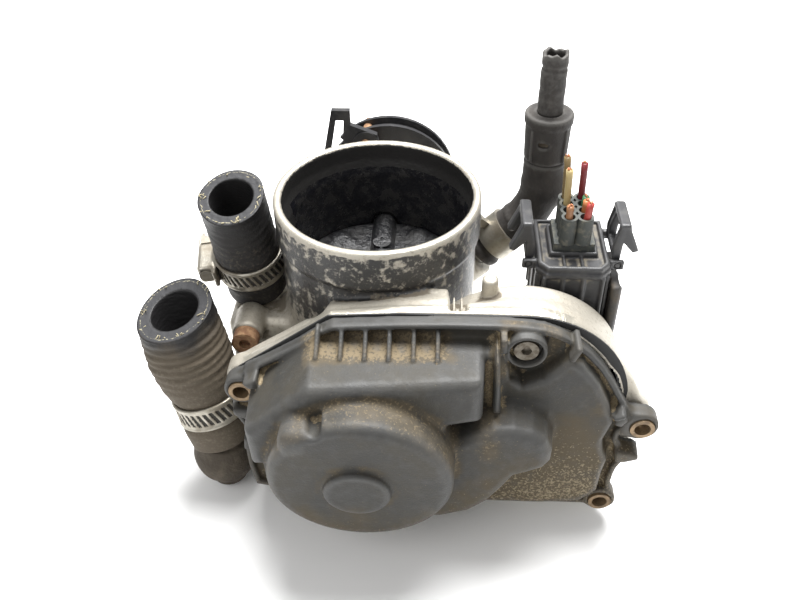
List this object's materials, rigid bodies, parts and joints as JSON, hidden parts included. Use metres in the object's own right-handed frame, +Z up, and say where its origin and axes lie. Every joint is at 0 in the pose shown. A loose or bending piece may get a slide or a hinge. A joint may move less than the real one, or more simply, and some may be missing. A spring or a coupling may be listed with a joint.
{
  "type": "throttle body",
  "caption": "Motor driven throttle body with a cable quadrant, moulded gear case cover, coolant hose stubs, breather elbow and wiring plug.",
  "frame": {"origin": "centre of the bore in the face of the manifold flange", "axes": "+Z up the bore to the collar, -Y towards the gear cover, +X towards the connector"},
  "size_m": [0.1721, 0.1545, 0.147],
  "materials": {
    "cast_aluminium": "rough cast, machined edges",
    "cover_plastic": "moulded, dusty",
    "seal_rubber": "matte",
    "worn_steel": "oxidised",
    "rusty_steel": "rusty",
    "steel": "satin",
    "brass": "satin",
    "gear_plastic": "moulded",
    "sooty_brass": "oily soot",
    "sooty_steel": "oily soot",
    "spring_steel": "satin",
    "black_plastic": "moulded",
    "board": "coated",
    "copper_pin": "worn plating",
    "brown_moulding": "dusty",
    "hose_rubber": "dusty, wrinkled",
    "clamp_steel": "brushed",
    "grey_rubber": "dusty",
    "connector_plastic": "dusty",
    "terminal_metal": "plated",
    "wire_insulation": "seven colours"
  },
  "bodies": {
    "housing": {"throttle_housing": "cast_aluminium", "gear_cover": "cover_plastic", "cover_gasket": "seal_rubber", "cover_screws": "worn_steel", "cover_bushes": "rusty_steel", "motor_can": "steel", "intermediate_axle": "steel", "front_bearing": "steel", "rear_bearing": "steel", "shaft_seals": "seal_rubber", "return_spring": "spring_steel", "sensor_board": "board", "terminal_board": "board", "stop_screw": "worn_steel", "stop_locknut": "worn_steel", "coolant_elbow": "brown_moulding", "coolant_nipple": "steel", "coolant_hose_front": "hose_rubber", "coolant_hose_rear": "hose_rubber", "front_clamp_band": "clamp_steel", "rear_clamp_band": "clamp_steel", "front_clamp_screw": "clamp_steel", "rear_clamp_screw": "clamp_steel", "coolant_bolt": "rusty_steel", "breather_nipple": "steel", "breather_hose": "grey_rubber", "spring_clamp": "clamp_steel", "hose_adaptor": "grey_rubber", "breather_pipe": "grey_rubber", "connector_socket": "connector_plastic", "connector_pins": "terminal_metal"},
    "throttle": {"throttle_shaft": "steel", "throttle_plate": "sooty_brass", "plate_screws": "sooty_steel", "sector_gear": "gear_plastic", "sensor_wiper": "black_plastic", "cable_quadrant": "black_plastic", "quadrant_nut": "steel", "cable_pin": "copper_pin", "cable_clip": "black_plastic"},
    "intermediate": {"intermediate_gear": "gear_plastic"},
    "motor": {"motor_pinion": "brass", "motor_shaft": "steel"},
    "plug": {"plug_shell": "connector_plastic", "plug_insert": "connector_plastic", "wire_stubs": "wire_insulation"},
    "latch_left": {"left_latch": "connector_plastic"},
    "latch_right": {"right_latch": "connector_plastic"}
  },
  "joints": [
    {"name": "throttle_turn", "type": "hinge", "parent": "housing", "child": "throttle", "pos_m": [0, 0, 0.072], "axis": [0, 1, 0], "range_deg": [0, 80], "stiffness_Nm_per_rad": 0.12, "springref_deg": -45.84},
    {"name": "intermediate_turn", "type": "hinge", "parent": "housing", "child": "intermediate", "pos_m": [0.02318, -0.0465, 0.05816], "axis": [0, 1, 0], "range_deg": [-191, 1]},
    {"name": "motor_turn", "type": "hinge", "parent": "housing", "child": "motor", "pos_m": [-0.002, -0.055, 0.049], "axis": [0, 1, 0], "range_deg": [-5, 880]},
    {"name": "plug_pull", "type": "slide", "parent": "housing", "child": "plug", "axis": [0, 0, 1], "range_m": [0, 0.022]},
    {"name": "left_latch_press", "type": "hinge", "parent": "plug", "child": "latch_left", "pos_m": [0.0491, -0.01, 0.092], "axis": [0, 1, 0], "range_deg": [0, 5], "stiffness_Nm_per_rad": 0.05},
    {"name": "right_latch_press", "type": "hinge", "parent": "plug", "child": "latch_right", "pos_m": [0.0769, -0.01, 0.092], "axis": [0, -1, 0], "range_deg": [0, 5], "stiffness_Nm_per_rad": 0.05}
  ],
  "couplings": [
    {"joint": "intermediate_turn", "follows": "throttle_turn", "ratio": -2.375},
    {"joint": "motor_turn", "follows": "throttle_turn", "ratio": 10.885}
  ]
}
